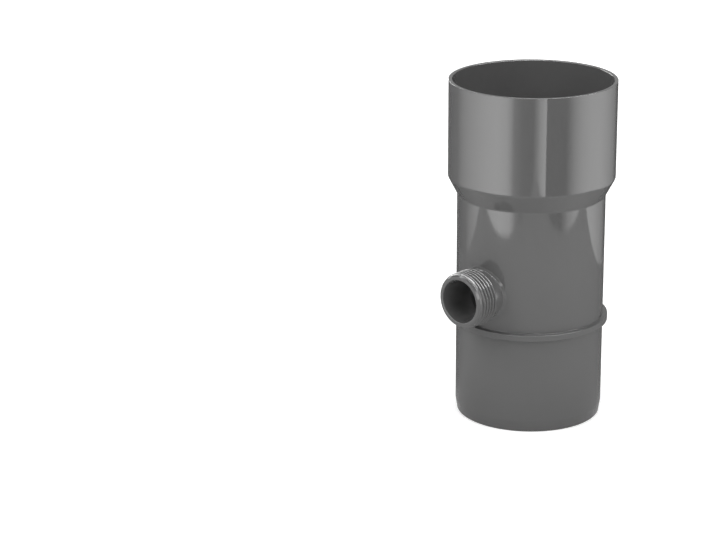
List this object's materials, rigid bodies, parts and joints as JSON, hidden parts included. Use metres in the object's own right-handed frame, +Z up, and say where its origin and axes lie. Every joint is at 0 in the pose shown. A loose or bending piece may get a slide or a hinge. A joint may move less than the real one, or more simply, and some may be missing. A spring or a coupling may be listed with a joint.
{
  "type": "downpipe connector",
  "caption": "Straight rainwater downpipe coupling with a wider top socket, a stop bead above a tapered spigot, and a threaded side outlet fed by an inner collecting trough.",
  "frame": {"origin": "middle of the spigot's lower end, on the pipe axis", "axes": "+Z up along the pipe towards the socket, -Y out of the side outlet"},
  "size_m": [0.0952, 0.1085, 0.1967],
  "materials": {
    "graphite_plastic": "semi-gloss moulded graphite grey"
  },
  "bodies": {
    "root": {"connector_body": "graphite_plastic"}
  },
  "joints": []
}
